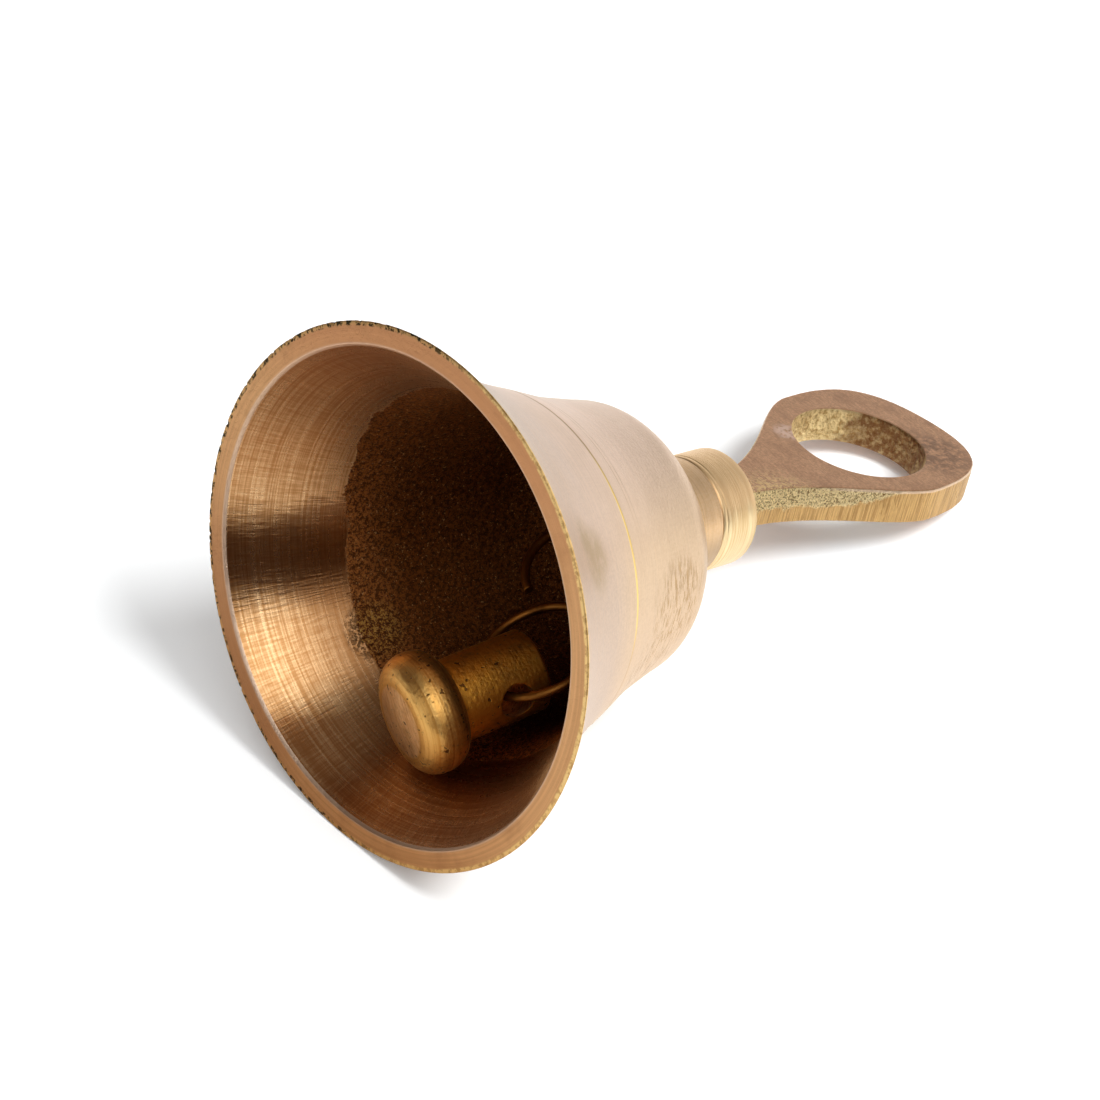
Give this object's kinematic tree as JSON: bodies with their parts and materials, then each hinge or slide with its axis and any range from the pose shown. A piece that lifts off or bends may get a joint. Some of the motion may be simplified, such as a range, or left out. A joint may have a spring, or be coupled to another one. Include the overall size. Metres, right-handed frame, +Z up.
{
  "type": "hand bell",
  "caption": "Small brass hand bell lying on its side: flared cup with a turned neck, flat ring handle and a mushroom clapper hung from a wire ring.",
  "frame": {"origin": "middle of the bounding box at floor level", "axes": "+X runs along the floor from the mouth to the handle's tip, +Z is up; the bell lies on its rim and on the tip of its handle"},
  "size_m": [0.1081, 0.066, 0.0632],
  "materials": {
    "cast_brass": "satin, finely turned outside, turned near the mouth and sand-cast deeper inside",
    "handle_brass": "ground faces, filed and cast edges, turned collar",
    "stud_brass": "plain",
    "wire_brass": "drawn wire, dulled",
    "turned_brass": "turned, with rings and pits"
  },
  "bodies": {
    "bell": {"bell_body": "cast_brass", "ring_handle": "handle_brass", "hanger_stud": "stud_brass", "crown_hook": "wire_brass"},
    "link": {"clapper_ring": "wire_brass"},
    "clapper": {"clapper": "turned_brass"}
  },
  "joints": [
    {"name": "link_swing", "type": "hinge", "parent": "bell", "child": "link", "pos_m": [-0.01872, -0.00703, 0.01828], "axis": [0.1789, 0.9677, -0.1777], "range_deg": [0, 74]},
    {"name": "clapper_swing", "type": "hinge", "parent": "link", "child": "clapper", "pos_m": [-0.03243, -0.00521, 0.01439], "axis": [0.1789, 0.9677, -0.1777], "range_deg": [0, 16]}
  ]
}
